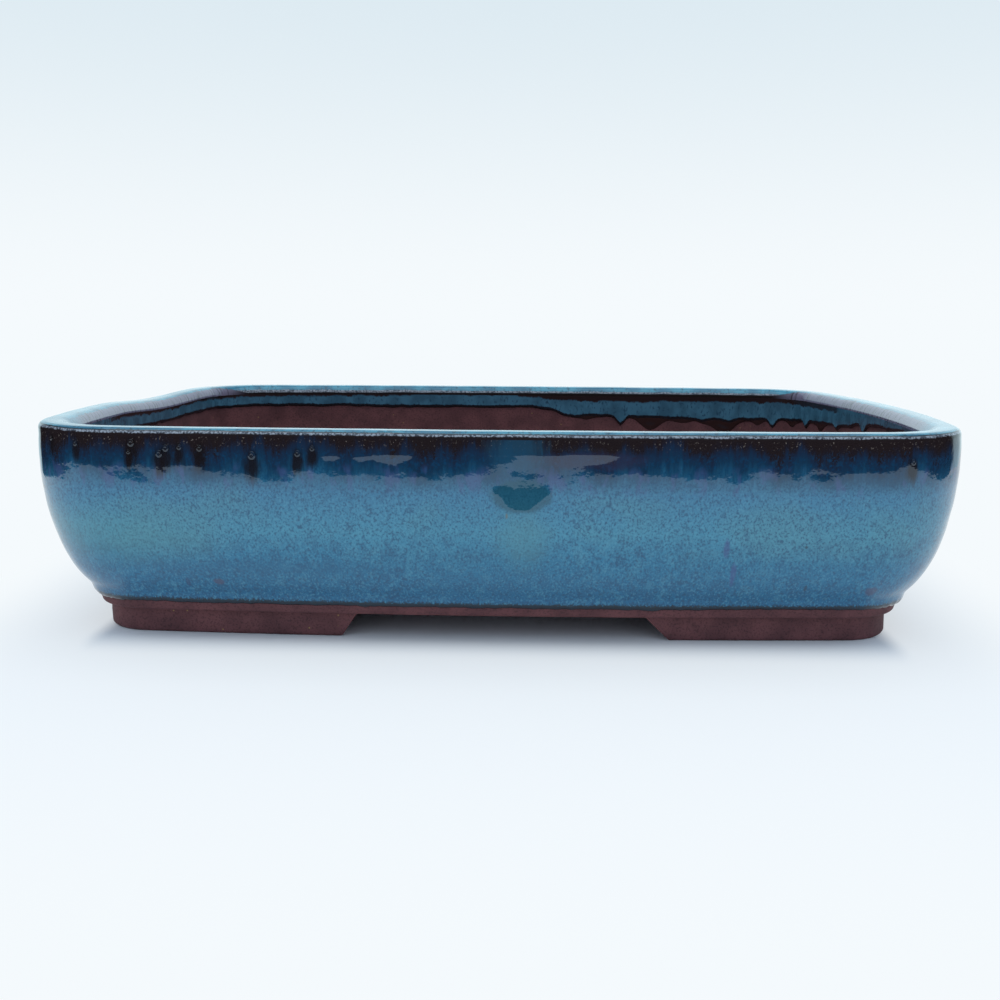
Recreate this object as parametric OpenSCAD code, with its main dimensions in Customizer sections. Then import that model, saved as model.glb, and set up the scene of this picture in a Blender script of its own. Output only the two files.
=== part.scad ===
// Glazed stoneware bonsai pot: an oblong tray with bowed walls, rounded corners,
// a bellied section, an unglazed base and four corner feet.
// Millimetres, +Z up, +X along the length. The origin is on the table, under the pot's middle.
// A section is a list of [inset, z] points, where inset is measured inwards from the
// plan outline of the belly. Neighbouring pieces share their sections' points, so they
// meet face to face.

/* [Pot] */
// Width over the belly, along X
pot_w = 240; // [220:1:300]
// Depth over the belly, along Y
pot_d = 178; // [165:1:230]
// Height from the table to the top of the rim
pot_h = 53; // [51:0.5:60]
// Corner radius of the belly in plan
corner_r = 28.6; // [28.6:0.1:36]
// How far each long wall bows out at its middle
bow_long = 3; // [1:0.5:5]
// How far each short wall bows out at its middle
bow_short = 4.8; // [1:0.2:6]

/* [Wall] */
// Thickness of the clay, measured level
wall_t = 6.6; // [5:0.1:7]
// Height of the widest place
belly_z = 45; // [43:0.5:46]
// Level half-axis of the belly's elliptical curve
belly_in = 16.1; // [14:0.1:17]
// Upright half-axis of the belly's elliptical curve
belly_drop = 35.4; // [34:0.1:38]
// How far the wall leans in between the belly and the rim
top_lean = 0.25; // [0:0.05:1]
// Inset of the base's lower edge
neck_in = 13.1; // [12:0.1:14]
// How far the neck leans out for each millimetre it rises
neck_lean = 0.4; // [0.2:0.05:0.5]
// Radius of the rim's outer shoulder
lip_outer_r = 1.2; // [0.8:0.1:1.5]
// Radius of the rim's inner shoulder
lip_inner_r = 2.6; // [2:0.1:3]

/* [Glaze] */
// Thickness of the glaze coat
glaze_t = 0.7; // [0.5:0.1:1]
// Height of the glaze's lower edge outside
glaze_line_z = 9.7; // [9:0.1:11]
// Height of the glaze's lower edge inside
inner_glaze_z = 43; // [38:0.5:46]

/* [Base] */
// Thickness of the base slab
base_t = 7; // [6:0.5:8]
// Radius on the base slab's lower edge
base_edge_r = 0.9; // [0.5:0.1:1.2]
// Size of the coil worked into the inside corner
coil_r = 6; // [4:0.5:6]
// Radius of each drainage hole
drain_r = 11; // [8:0.5:13]
// Distance of each drainage hole from the middle
drain_x = 48; // [40:1:55]
// Radius of each wire hole
wire_r = 2.25; // [2:0.25:3]
// Wire holes' distance from the middle, along X
wire_x = 78; // [70:1:80]
// Wire holes' distance from the middle, along Y
wire_y = 40; // [35:1:42]

/* [Feet] */
// Height of the feet
foot_h = 6.3; // [5:0.1:7]
// Inset of the feet's outer faces
foot_in = 15.4; // [15:0.1:16]
// Thickness of each foot's two legs
foot_t = 12; // [10:0.5:12]
// Half the gap between two feet under a long wall, at the top
gap_long = 34.5; // [28:0.5:45]
// Half the gap between two feet under a short wall, at the top
gap_short = 24; // [18:0.5:30]
// How far a foot's end slopes back on its way down
foot_slope = 5; // [3:0.5:6]

/* [Hidden] */

clay = "#4b3131";
glaze = "#4f8299";
break_glaze = "#33302f";
inner_teal = "#2f4c5c";

row_h = 3.5;         // spacing of a section's rows up the wall
lip_steps = 4;       // flats on each rounded edge
long_steps = 10;     // flats along a long wall, between its corners
short_steps = 8;
corner_steps = 12;   // an even number, so that the mitred seam falls on a station
hole_fn = 64;
neck_h = 8;          // height over which the neck leans, before the belly takes over
neck_blend = 0.6;    // softness of the hollow between neck and belly
glaze_edge = 0.4;    // height of the bevel on a glaze edge
foot_edge_r = 1;
foot_toe_r = 1.5;    // radius at the table, on a foot's sloped ends
cut = 1;             // how far a cutter runs past what it cuts

half_w = pot_w / 2;
half_d = pot_d / 2;
floor_z = foot_h + base_t;
clay_top = pot_h - glaze_t;
shoulder_z = clay_top - lip_outer_r;
inner_shoulder_z = clay_top - lip_inner_r;

// Plan outline: four shallow arcs joined by four corner arcs, all tangent to each other.
function bow_radius(half, bow) = (half * half + bow * bow) / (2 * bow);
long_r = bow_radius(half_w - corner_r, bow_long);
short_r = bow_radius(half_d - corner_r, bow_short);
long_cy = half_d - long_r;      // centre of the back wall's arc, on the Y axis
short_cx = half_w - short_r;    // centre of the right wall's arc, on the X axis
// The corner's centre is long_r - corner_r from one of them and short_r - corner_r from the other.
reach_a = long_r - corner_r;
reach_b = short_r - corner_r;
span = norm([short_cx, long_cy]);
along = (reach_a * reach_a - reach_b * reach_b + span * span) / (2 * span);
aside = sqrt(reach_a * reach_a - along * along);
corner_x = (along * short_cx - aside * long_cy) / span;
corner_y = long_cy - (along * long_cy + aside * short_cx) / span;
long_half = atan2(corner_x, corner_y - long_cy);     // half-angle of a long arc
short_half = atan2(corner_y, corner_x - short_cx);   // half-angle of a short arc

// Stations run anticlockwise round the outline. Each is [centre x, centre y, radius, angle].
function stretch(x, y, r, from, to, steps) =
    [for (i = [0:steps - 1]) [x, y, r, from + (to - from) * i / steps]];
function corner(x, y, from, to) = stretch(x, y, corner_r, from, to, corner_steps);
stations = concat(
    stretch(short_cx, 0, short_r, -short_half, short_half, short_steps),
    corner(corner_x, corner_y, short_half, 90 - long_half),
    stretch(0, long_cy, long_r, 90 - long_half, 90 + long_half, long_steps),
    corner(-corner_x, corner_y, 90 + long_half, 180 - short_half),
    stretch(-short_cx, 0, short_r, 180 - short_half, 180 + short_half, short_steps),
    corner(-corner_x, -corner_y, 180 + short_half, 270 - long_half),
    stretch(0, -long_cy, long_r, 270 - long_half, 270 + long_half, long_steps),
    corner(corner_x, -corner_y, 270 + long_half, 360 - short_half));
around = len(stations);
// The mitred seams, in the middle of the corners.
seam_a = short_steps + corner_steps / 2;
seam_b = seam_a + corner_steps + long_steps;
seam_c = seam_b + corner_steps + short_steps;
seam_d = seam_c + corner_steps + long_steps;

// Section of the clay wall.
function smooth_min(a, b, k) = (a + b - sqrt(pow(a - b, 2) + k * k)) / 2;
function belly_inset(z) =
    glaze_t + belly_in * (1 - sqrt(max(0, 1 - pow((belly_z - z) / belly_drop, 2))));
function neck_inset(z) = neck_in - neck_lean * min(z - foot_h, neck_h);
function lean_inset(z) = glaze_t + top_lean * pow((z - belly_z) / (shoulder_z - belly_z), 2);
function clay_inset(z) =
    z > belly_z ? lean_inset(z) : smooth_min(belly_inset(z), neck_inset(z), neck_blend);
function inner_inset(z) = clay_inset(z) + wall_t;
function rows(low, high) = max(1, round((high - low) / row_h));
function levels(low, high, n) = [for (i = [0:n]) low + (high - low) * i / n];
function flip(points) = [for (i = [len(points) - 1:-1:0]) points[i]];
function tail(points) = [for (i = [1:len(points) - 1]) points[i]];
function outer_face(low, high, n, proud = 0) =
    [for (z = levels(low, high, n)) [clay_inset(z) - proud, z]];
function inner_face(low, high, n, proud = 0) =
    [for (z = levels(low, high, n)) [inner_inset(z) + proud, z]];
// An arc from angle a to angle b, where 0 points outwards and 90 points up.
function arc(centre, r, a, b) =
    [for (i = [0:lip_steps]) let (t = a + (b - a) * i / lip_steps)
        [centre[0] - r * cos(t), centre[1] + r * sin(t)]];
function outer_shoulder(proud = 0) =
    arc([clay_inset(shoulder_z) + lip_outer_r, shoulder_z], lip_outer_r + proud, 0, 90);
function inner_shoulder(proud = 0) =
    arc([inner_inset(inner_shoulder_z) - lip_inner_r, inner_shoulder_z],
        lip_inner_r + proud, 180, 90);

wall_rows = rows(floor_z, shoulder_z);
band_rows = rows(glaze_line_z, floor_z);
collar_rows = rows(inner_glaze_z, inner_shoulder_z);

// A closed outline from two chains of points that both run upwards, with as many points each.
function between(outer, inner) = concat(outer, flip(inner));
wall_section = between(
    concat(outer_face(floor_z, shoulder_z, wall_rows), tail(outer_shoulder())),
    concat(inner_face(floor_z, inner_shoulder_z, wall_rows), tail(inner_shoulder())));
outer_glaze_section = between(
    concat(outer_face(glaze_line_z + glaze_edge, floor_z, band_rows, glaze_t),
           tail(outer_face(floor_z, shoulder_z, wall_rows, glaze_t))),
    concat(outer_face(glaze_line_z, floor_z, band_rows),
           tail(outer_face(floor_z, shoulder_z, wall_rows))));
rim_glaze_section = between(
    concat(outer_shoulder(glaze_t), flip(inner_shoulder(glaze_t))),
    concat(outer_shoulder(), flip(inner_shoulder())));
inner_glaze_section = between(
    inner_face(inner_glaze_z, inner_shoulder_z, collar_rows),
    inner_face(inner_glaze_z + glaze_edge, inner_shoulder_z, collar_rows, glaze_t));
base_section = concat(
    arc([clay_inset(foot_h + base_edge_r) + base_edge_r, foot_h + base_edge_r],
        base_edge_r, -90, 0),
    [[clay_inset(glaze_line_z), glaze_line_z]],
    tail(outer_face(glaze_line_z, floor_z, band_rows)));
coil_top = floor_z + coil_r;
coil_section = concat(
    inner_face(floor_z, coil_top, 2),
    [for (i = [1:lip_steps]) let (t = i / lip_steps)
        (1 - t) * (1 - t) * [inner_inset(coil_top), coil_top]
        + 2 * t * (1 - t) * [inner_inset(floor_z), floor_z]
        + t * t * [inner_inset(floor_z) + coil_r, floor_z]]);
foot_face = concat(
    arc([foot_in + foot_edge_r, foot_edge_r], foot_edge_r, -90, 0), [[foot_in, foot_h]]);
foot_section = between(foot_face, [for (p = foot_face) [foot_in + foot_t, p[1]]]);

// Points of a section at the stations from one number to another.
function place(s, p) = [s[0] + (s[2] - p[0]) * cos(s[3]), s[1] + (s[2] - p[0]) * sin(s[3]), p[1]];
function swept_points(section, from, to) =
    [for (k = [from:to], p = section) place(stations[k % around], p)];
// Triangles between station i's points and station k's, n to a station.
function strip(i, k, n, ring) =
    [for (j = [0:ring ? n - 1 : n - 2]) let (m = (j + 1) % n)
        each [[i * n + j, i * n + m, k * n + m], [i * n + j, k * n + m, k * n + j]]];
// A cap's triangles, between the section's two chains. It starts at point number "first".
function cap(first, n) =
    [for (j = [0:n / 2 - 2])
        each [[first + j, first + j + 1, first + n - 2 - j],
              [first + j, first + n - 2 - j, first + n - 1 - j]]];

// A closed ring right round the pot.
module ring(section) {
    n = len(section);
    polyhedron(
        swept_points(section, 0, around - 1),
        [for (i = [0:around - 1]) each strip(i, (i + 1) % around, n, true)]);
}
// A length of wall or foot between two stations, with flat ends.
module length_of(section, from, to) {
    n = len(section);
    steps = to - from;
    polyhedron(
        swept_points(section, from, to),
        concat([for (i = [0:steps - 1]) each strip(i, i + 1, n, true)],
               [for (t = cap(0, n)) flip(t)], cap(steps * n, n)));
}
// A solid slab whose edge follows a chain of points that runs upwards.
module slab(edge) {
    n = len(edge);
    polyhedron(
        swept_points(edge, 0, around - 1),
        concat([for (i = [0:around - 1]) each strip(i, (i + 1) % around, n, false)],
               [[for (i = [0:around - 1]) i * n], [for (i = [around - 1:-1:0]) i * n + n - 1]]));
}

// The walls: four slabs, mitred in the middle of the corners.
module wall_back() { color(clay) length_of(wall_section, seam_a, seam_b); }
module wall_left() { color(clay) length_of(wall_section, seam_b, seam_c); }
module wall_front() { color(clay) length_of(wall_section, seam_c, seam_d); }
module wall_right() { color(clay) length_of(wall_section, seam_d, seam_a + around); }

module base_slab() {
    color(clay) difference() {
        slab(base_section);
        for (side = [-1, 1]) hole(side * drain_x, 0, drain_r);
        for (sx = [-1, 1], sy = [-1, 1]) hole(sx * wire_x, sy * wire_y, wire_r);
    }
}
module hole(x, y, r) {
    translate([x, y, foot_h - cut]) cylinder(h = base_t + 2 * cut, r = r, $fn = hole_fn);
}

// The coil of clay worked into the corner between walls and base.
module inside_coil() { color(clay) ring(coil_section); }

// What is cut away beside a foot: its end slopes back and is rounded at the table.
module gap_outline(gap) {
    toe = gap + foot_slope;
    polygon(concat(
        [[-cut, foot_h + cut], [gap - foot_slope / foot_h * cut, foot_h + cut]],
        [for (i = [0:lip_steps]) let (t = 90 * i / lip_steps)
            [toe + foot_toe_r * (1 - cos(t)), foot_toe_r * (1 - sin(t))]],
        [[toe + foot_toe_r, -cut], [-cut, -cut]]));
}
// One L-shaped foot under the right-hand back corner.
module foot() {
    deep = half_w + half_d;
    color(clay) difference() {
        length_of(foot_section, short_steps / 2, short_steps + corner_steps + long_steps / 2);
        translate([0, deep, 0]) rotate([90, 0, 0]) linear_extrude(deep * 2) gap_outline(gap_long);
        translate([-deep, 0, 0]) rotate([90, 0, 90])
            linear_extrude(deep * 2) gap_outline(gap_short);
    }
}
module foot_back_right() { foot(); }
module foot_back_left() { mirror([1, 0, 0]) foot(); }
module foot_front_right() { mirror([0, 1, 0]) foot(); }
module foot_front_left() { mirror([0, 1, 0]) mirror([1, 0, 0]) foot(); }

// The glaze: a coat outside, the part that breaks over the rim, and the collar inside.
module outer_glaze() { color(glaze) ring(outer_glaze_section); }
module rim_glaze() { color(break_glaze) ring(rim_glaze_section); }
module inner_glaze() { color(inner_teal) ring(inner_glaze_section); }

base_slab();
wall_front();
wall_back();
wall_left();
wall_right();
inside_coil();
foot_front_left();
foot_front_right();
foot_back_left();
foot_back_right();
outer_glaze();
rim_glaze();
inner_glaze();
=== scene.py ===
# %% [markdown]
# # A glazed bonsai pot
# This lesson builds a shallow oblong bonsai pot: slab-built stoneware walls, an unglazed base
# on four corner feet, and a streaky blue glaze that turns brown-black under the rim.
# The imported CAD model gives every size. Its pieces are plain, so each one is modelled again
# here with finer curves, the small unevenness of handwork, and a real thickness of glaze.

# %% Load the frame
import math
import bmesh
import bpy
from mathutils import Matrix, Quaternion, Vector, noise


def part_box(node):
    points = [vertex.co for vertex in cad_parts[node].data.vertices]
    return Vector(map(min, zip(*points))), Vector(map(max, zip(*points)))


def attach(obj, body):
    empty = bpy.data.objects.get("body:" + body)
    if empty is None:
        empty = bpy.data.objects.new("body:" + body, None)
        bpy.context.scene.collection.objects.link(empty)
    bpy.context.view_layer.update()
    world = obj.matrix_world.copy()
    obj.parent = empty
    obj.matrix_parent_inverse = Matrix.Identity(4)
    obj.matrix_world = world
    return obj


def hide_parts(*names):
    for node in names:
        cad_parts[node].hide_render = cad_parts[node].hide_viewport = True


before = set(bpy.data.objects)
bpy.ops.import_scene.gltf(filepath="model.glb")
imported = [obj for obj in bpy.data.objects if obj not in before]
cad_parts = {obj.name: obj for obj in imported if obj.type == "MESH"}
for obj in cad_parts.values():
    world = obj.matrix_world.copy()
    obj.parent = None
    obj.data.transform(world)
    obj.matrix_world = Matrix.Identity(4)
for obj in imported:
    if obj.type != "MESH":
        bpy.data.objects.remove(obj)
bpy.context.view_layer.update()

# %% [markdown]
# ## Sizes
# The pot's outline in plan is four shallow arcs joined by four corner arcs, each tangent to
# the next, because a pressed slab bows out a little between the corners of its mould.
# Everything is measured inwards from that outline, so one section serves all the way round.
# Lengths are in millimetres until they reach Blender, which works in metres.

# %% Sizes from the frame
MM = 0.001


def node_box(name):
    low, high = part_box(name)
    return [v / MM for v in low], [v / MM for v in high]


half_w, half_d, _ = node_box("outer_glaze")[1]
pot_h = node_box("rim_glaze")[1][2]
foot_h = node_box("foot_back_right")[1][2]
floor_z = node_box("base_slab")[1][2]
print(f"half width {half_w:.1f}, half depth {half_d:.1f}, height {pot_h:.1f} mm")

# %% Sizes of the clay and the glaze
corner_r = 28.6
bow_long = 3.0
bow_short = 4.8
wall_t = 6.6
glaze_t = 0.7
belly_z = 45.0
belly_in = 16.1
belly_drop = 35.4
top_lean = 0.25
neck_in = 13.5
neck_lean = 0.4
neck_h = 8.0
neck_blend = 0.6
lip_outer_r = 1.2
lip_inner_r = 2.6
clay_top = pot_h - glaze_t
shoulder_z = clay_top - lip_outer_r
inner_shoulder_z = clay_top - lip_inner_r

# %% [markdown]
# ## The outline
# The centre of a corner lies where two circles cross: one round the long wall's centre and
# one round the short wall's. The angles of the arcs follow from it.


# %% Outline arcs
def bow_radius(half, bow):
    return (half * half + bow * bow) / (2 * bow)


long_r = bow_radius(half_w - corner_r, bow_long)
short_r = bow_radius(half_d - corner_r, bow_short)
long_cy = half_d - long_r
short_cx = half_w - short_r
reach_a = long_r - corner_r
reach_b = short_r - corner_r
span = math.hypot(short_cx, long_cy)
along = (reach_a**2 - reach_b**2 + span**2) / (2 * span)
aside = math.sqrt(reach_a**2 - along**2)
corner_x = (along * short_cx - aside * long_cy) / span
corner_y = long_cy - (along * long_cy + aside * short_cx) / span
long_half = math.atan2(corner_x, corner_y - long_cy)
short_half = math.atan2(corner_y, corner_x - short_cx)
corner_turn = math.pi / 2 - long_half - short_half
print(f"corner centre {corner_x:.2f}, {corner_y:.2f} mm, turning {math.degrees(corner_turn):.1f} degrees")

# %% [markdown]
# The outline's stretches in order, anticlockwise from the middle of the right-hand wall.
# A stretch is its centre, its radius, its first angle, how far it turns, and its steps.
# Steps about a millimetre long let the glaze's ripples show in its reflections.

# %% Stretches of the outline
STEP = 1.15


def stretch(x, y, radius, first, turn):
    return x, y, radius, first, turn, max(2, round(radius * turn / STEP))


quarter_turn = math.pi / 2
corners = [(1, 1), (-1, 1), (-1, -1), (1, -1)]
outline = [stretch(short_cx, 0, short_r, 0, short_half)]
for number, (sx, sy) in enumerate(corners):
    facing = number * quarter_turn
    first = facing + (short_half if number % 2 == 0 else long_half)
    outline.append(stretch(sx * corner_x, sy * corner_y, corner_r, first, corner_turn))
    if number == 3:
        outline.append(stretch(short_cx, 0, short_r, -short_half, short_half))
    elif number % 2 == 0:
        first = facing + quarter_turn - long_half
        outline.append(stretch(0, sy * long_cy, long_r, first, 2 * long_half))
    else:
        first = facing + quarter_turn - short_half
        outline.append(stretch(sx * short_cx, 0, short_r, first, 2 * short_half))
print("steps round the pot:", sum(s[5] for s in outline))


# %% [markdown]
# `beside` does the reverse. It takes any point and gives the stretch it belongs to, as the
# nearest point of the outline, the direction outwards, and how far in the point lies.
# Patterns and ripples that run round the pot all use it.


# %% Where a point lies on the outline
def beside(x, y):
    ax, ay = abs(x), abs(y)
    sx = math.copysign(1, x)
    sy = math.copysign(1, y)
    turn = math.atan2(ay - corner_y, ax - corner_x)
    if (ax > corner_x or ay > corner_y) and short_half <= turn <= quarter_turn - long_half:
        cx, cy, radius = corner_x, corner_y, corner_r
    elif math.atan2(ax, ay - long_cy) <= long_half:
        cx, cy, radius = 0, long_cy, long_r
    else:
        cx, cy, radius = short_cx, 0, short_r
    out = Vector((ax - cx, ay - cy))
    inset = radius - out.length
    out.normalize()
    return (sx * (cx + radius * out.x), sy * (cy + radius * out.y)), (sx * out.x, sy * out.y), inset


print("the front wall's middle:", beside(0, -half_d + 5))


# %% [markdown]
# ## The section
# The wall's outer face is an upright ellipse that meets a leaning neck in a soft hollow, as
# a fired belly does over a trimmed foot. `smooth_min` blends the two curves.


# %% Curves of the wall
def smooth_min(a, b, k):
    return (a + b - math.sqrt((a - b) ** 2 + k * k)) / 2


def clay_inset(z):
    if z > belly_z:
        return glaze_t + top_lean * ((z - belly_z) / (shoulder_z - belly_z)) ** 2
    fall = min(1, (belly_z - z) / belly_drop)
    belly = glaze_t + belly_in * (1 - math.sqrt(1 - fall * fall))
    neck = neck_in - neck_lean * min(z - foot_h, neck_h)
    return smooth_min(belly, neck, neck_blend)


def inner_inset(z):
    return clay_inset(z) + wall_t


def levels(low, high, spacing):
    count = max(1, round((high - low) / spacing))
    return [low + (high - low) * i / count for i in range(count + 1)]


def face(inset_of, low, high, spacing, proud=0.0):
    return [(inset_of(z) - proud, z) for z in levels(low, high, spacing)]


def arc(inset, z, radius, first, last, steps=6):
    turns = [first + (last - first) * i / steps for i in range(steps + 1)]
    return [
        (inset - radius * math.cos(math.radians(t)), z + radius * math.sin(math.radians(t)))
        for t in turns
    ]


def outer_shoulder(proud=0.0, steps=6):
    return arc(clay_inset(shoulder_z) + lip_outer_r, shoulder_z, lip_outer_r + proud, 0, 90, steps)


def inner_shoulder(proud=0.0, steps=8):
    middle = inner_inset(inner_shoulder_z) - lip_inner_r
    return arc(middle, inner_shoulder_z, lip_inner_r + proud, 90, 180, steps)


print("rim width in mm:", round(inner_inset(inner_shoulder_z) - clay_inset(shoulder_z) + 2 * glaze_t, 2))


# %% [markdown]
# ## Drawing a section and spinning it
# A section could be drawn as a curve and given a path, but the corners need true arcs. So a
# small plane is merged into one vertex, the vertex is extruded from point to point, and the
# outline's stretches are spun one after another, each starting where the last one ended.


# %% Helpers for sweeping
def deselect():
    if bpy.context.object and bpy.context.object.mode == "EDIT":
        bpy.ops.object.mode_set(mode="OBJECT")
    bpy.ops.object.select_all(action="DESELECT")


def put(section_point, part):
    cx, cy, radius, first = part[:4]
    inset, z = section_point
    return Vector(
        (cx + (radius - inset) * math.cos(first), cy + (radius - inset) * math.sin(first), z)
    ) * MM


def draw_section(name, section, part, closed):
    deselect()
    bpy.ops.mesh.primitive_plane_add(size=MM)
    piece = bpy.context.object
    piece.name = piece.data.name = name
    bpy.ops.object.mode_set(mode="EDIT")
    bpy.ops.mesh.select_all(action="SELECT")
    bpy.ops.mesh.merge(type="CENTER")
    places = [put(p, part) for p in section]
    if closed:
        places.append(places[0])
    bpy.ops.transform.translate(value=places[0])
    for here, there in zip(places, places[1:]):
        bpy.ops.mesh.extrude_region_move(TRANSFORM_OT_translate={"value": there - here})
    bpy.ops.mesh.select_all(action="SELECT")
    if closed:
        bpy.ops.mesh.remove_doubles(threshold=MM * 1e-4)
    return piece


def spin_round(parts):
    for cx, cy, _, _, turn, steps in parts:
        bpy.ops.mesh.spin(steps=steps, angle=-turn, center=(cx * MM, cy * MM, 0), axis=(0, 0, 1))


def close_up(smooth_angle=40):
    bpy.ops.mesh.select_all(action="SELECT")
    bpy.ops.mesh.remove_doubles(threshold=MM * 0.004)
    bpy.ops.mesh.normals_make_consistent(inside=False)
    bpy.ops.object.mode_set(mode="OBJECT")
    bpy.ops.object.shade_smooth_by_angle(angle=math.radians(smooth_angle))


def ring(name, section):
    piece = draw_section(name, section, outline[0], True)
    spin_round(outline)
    close_up()
    print(name, len(piece.data.vertices), "vertices")
    return piece


# %% [markdown]
# ## Moving vertices outwards
# Handwork is never quite even. `ripple` moves every vertex of a piece level, away from or
# towards the pot's middle, by an amount that a rule gives for its place.


# %% Ripple a piece
def ripple(piece, rule):
    for v in piece.data.vertices:
        x, y, z = v.co / MM
        on_outline, out, inset = beside(x, y)
        push = rule(on_outline[0], on_outline[1], z, inset)
        v.co.x += out[0] * push * MM
        v.co.y += out[1] * push * MM
    piece.data.update()


def swell(x, y, z, size, seed=0.0):
    return noise.noise(Vector((x / size, y / size, z / size + seed)))


# %% [markdown]
# ## The walls
# Four slabs of clay, pressed in moulds and mitred where they meet in the middle of each
# corner. Their outer faces are under glaze, so only the inner faces are given close rows.
# The wet clay inside was smoothed with a thumb, which leaves long low swells.

# %% Wall slabs
wall_section = (
    face(clay_inset, floor_z, shoulder_z, 4)
    + outer_shoulder(steps=3)[1:]
    + inner_shoulder(steps=4)
    + list(reversed(face(inner_inset, floor_z, inner_shoulder_z, 1.5)))[1:]
)


def halved(part):
    x, y, radius, first, turn, steps = part
    return (
        (x, y, radius, first, turn / 2, steps // 2),
        (x, y, radius, first + turn / 2, turn / 2, steps // 2),
    )


def thumbed(x, y, z, inset):
    hidden = inset < clay_inset(max(z, floor_z)) + wall_t / 2
    return 0 if hidden else 0.22 * swell(x, y, z * 1.6, 14)


right_whole = stretch(short_cx, 0, short_r, -short_half, 2 * short_half)
wall_parts = {
    "wall_back": [halved(outline[1])[1], outline[2], halved(outline[3])[0]],
    "wall_left": [halved(outline[3])[1], outline[4], halved(outline[5])[0]],
    "wall_front": [halved(outline[5])[1], outline[6], halved(outline[7])[0]],
    "wall_right": [halved(outline[7])[1], right_whole, halved(outline[1])[0]],
}
walls = []
for wall_name, parts in wall_parts.items():
    wall = draw_section(wall_name + "_slab", wall_section, parts[0], True)
    bpy.ops.mesh.edge_face_add()
    spin_round(parts)
    close_up()
    ripple(wall, thumbed)
    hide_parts(wall_name)
    walls.append(wall)
print("walls:", [len(w.data.vertices) for w in walls])

# %% [markdown]
# ## The base slab
# A flat slab whose edge shows below the glaze. The edge is spun like the walls, and the open
# top and bottom are filled. Boolean modifiers cut the drainage and wire holes, which is how
# the potter makes them too, with a hole cutter in leather-hard clay.

# %% Base slab
base_edge_r = 0.9
base_section = (
    [(clay_inset(foot_h) + 6, foot_h)]
    + arc(clay_inset(foot_h + base_edge_r) + base_edge_r, foot_h + base_edge_r, base_edge_r, -90, 0)
    + face(clay_inset, foot_h + base_edge_r, floor_z, 0.7)[1:]
)
base = draw_section("base_slab_clay", base_section, outline[0], False)
spin_round(outline)
bpy.ops.mesh.select_all(action="SELECT")
bpy.ops.mesh.remove_doubles(threshold=MM * 0.004)
for rim_of in (foot_h, floor_z):
    bpy.ops.mesh.select_all(action="DESELECT")
    mesh = bmesh.from_edit_mesh(base.data)
    for edge in mesh.edges:
        edge.select_set(edge.is_boundary and all(abs(v.co.z / MM - rim_of) < 0.01 for v in edge.verts))
    bmesh.update_edit_mesh(base.data)
    bpy.ops.mesh.edge_face_add()
close_up()
print("base slab:", len(base.data.polygons), "faces")

# %% Drainage and wire holes
drain_r, drain_x = 11.0, 48.0
wire_r, wire_x, wire_y = 2.25, 78.0, 40.0
holes = [(side * drain_x, 0, drain_r) for side in (-1, 1)]
holes += [(sx * wire_x, sy * wire_y, wire_r) for sx in (-1, 1) for sy in (-1, 1)]
for x, y, radius in holes:
    deselect()
    bpy.ops.mesh.primitive_cylinder_add(
        vertices=64, radius=radius * MM, depth=20 * MM, location=(x * MM, y * MM, 10 * MM)
    )
    cutter = bpy.context.object
    deselect()
    base.select_set(True)
    bpy.context.view_layer.objects.active = base
    cut = base.modifiers.new("hole", "BOOLEAN")
    cut.operation = "DIFFERENCE"
    cut.object = cutter
    bpy.ops.object.modifier_apply(modifier=cut.name)
    bpy.data.objects.remove(cutter)
bpy.ops.object.shade_smooth_by_angle(angle=math.radians(40))
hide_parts("base_slab")
print("holes cut:", len(holes))

# %% [markdown]
# ## The coil inside
# Where the walls stand on the base, a thin coil of clay is pressed into the corner so that
# the seam can't crack. A finger leaves it hollow and uneven.

# %% Coil
coil_r = 6.0
coil_steps = 8
coil_top = (inner_inset(floor_z + coil_r), floor_z + coil_r)
coil_toe = (inner_inset(floor_z) + coil_r, floor_z)
coil_bend = (inner_inset(floor_z), floor_z)
coil_section = face(inner_inset, floor_z, floor_z + coil_r, 2)
for i in range(1, coil_steps + 1):
    t = i / coil_steps
    weights = ((1 - t) ** 2, 2 * t * (1 - t), t * t)
    coil_section.append(
        tuple(sum(w * p[k] for w, p in zip(weights, (coil_top, coil_bend, coil_toe))) for k in (0, 1))
    )
coil = ring("inside_coil_clay", coil_section)


def finger(x, y, z, inset):
    return -0.5 * abs(swell(x, y, 0, 9)) if inset > inner_inset(z) + 0.5 and z > floor_z + 0.2 else 0


ripple(coil, finger)
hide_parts("inside_coil")

# %% [markdown]
# ## The feet
# Each foot is a strip of clay bent round a corner, with ends that were cut back on a slope.
# The strip is spun like the walls, a bisect cuts each end and fills it, and the new edges
# are bevelled, because leather-hard clay is wiped with a sponge.

# %% One foot
foot_in = 15.4
foot_t = 12.0
foot_edge_r = 1.0
foot_slope = 5.0
gap_long = 34.5
gap_short = 24.0
foot_section = (
    arc(foot_in + foot_edge_r, foot_edge_r, foot_edge_r, -90, 0, 4)
    + [(foot_in, 3.5), (foot_in, foot_h), (foot_in + foot_t, foot_h), (foot_in + foot_t, 0)]
)
quarter = [outline[0], outline[1], outline[2][:4] + (long_half, outline[2][5] // 2)]
strip = draw_section("foot_back_right_clay", foot_section, quarter[0], True)
bpy.ops.mesh.edge_face_add()
spin_round(quarter)
close_up()
print("strip for a foot:", len(strip.data.vertices), "vertices")


# %% Cutting and softening the ends
def cut_end(axis, gap, slope):
    bpy.ops.mesh.select_all(action="SELECT")
    side = math.copysign(1, gap)
    place = [0, 0, foot_h * MM]
    place[axis] = gap * MM
    normal = [0, 0, math.sin(math.atan2(slope, foot_h))]
    normal[axis] = side * math.cos(math.atan2(slope, foot_h))
    bpy.ops.mesh.bisect(plane_co=place, plane_no=normal, use_fill=True, clear_inner=True)


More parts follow.
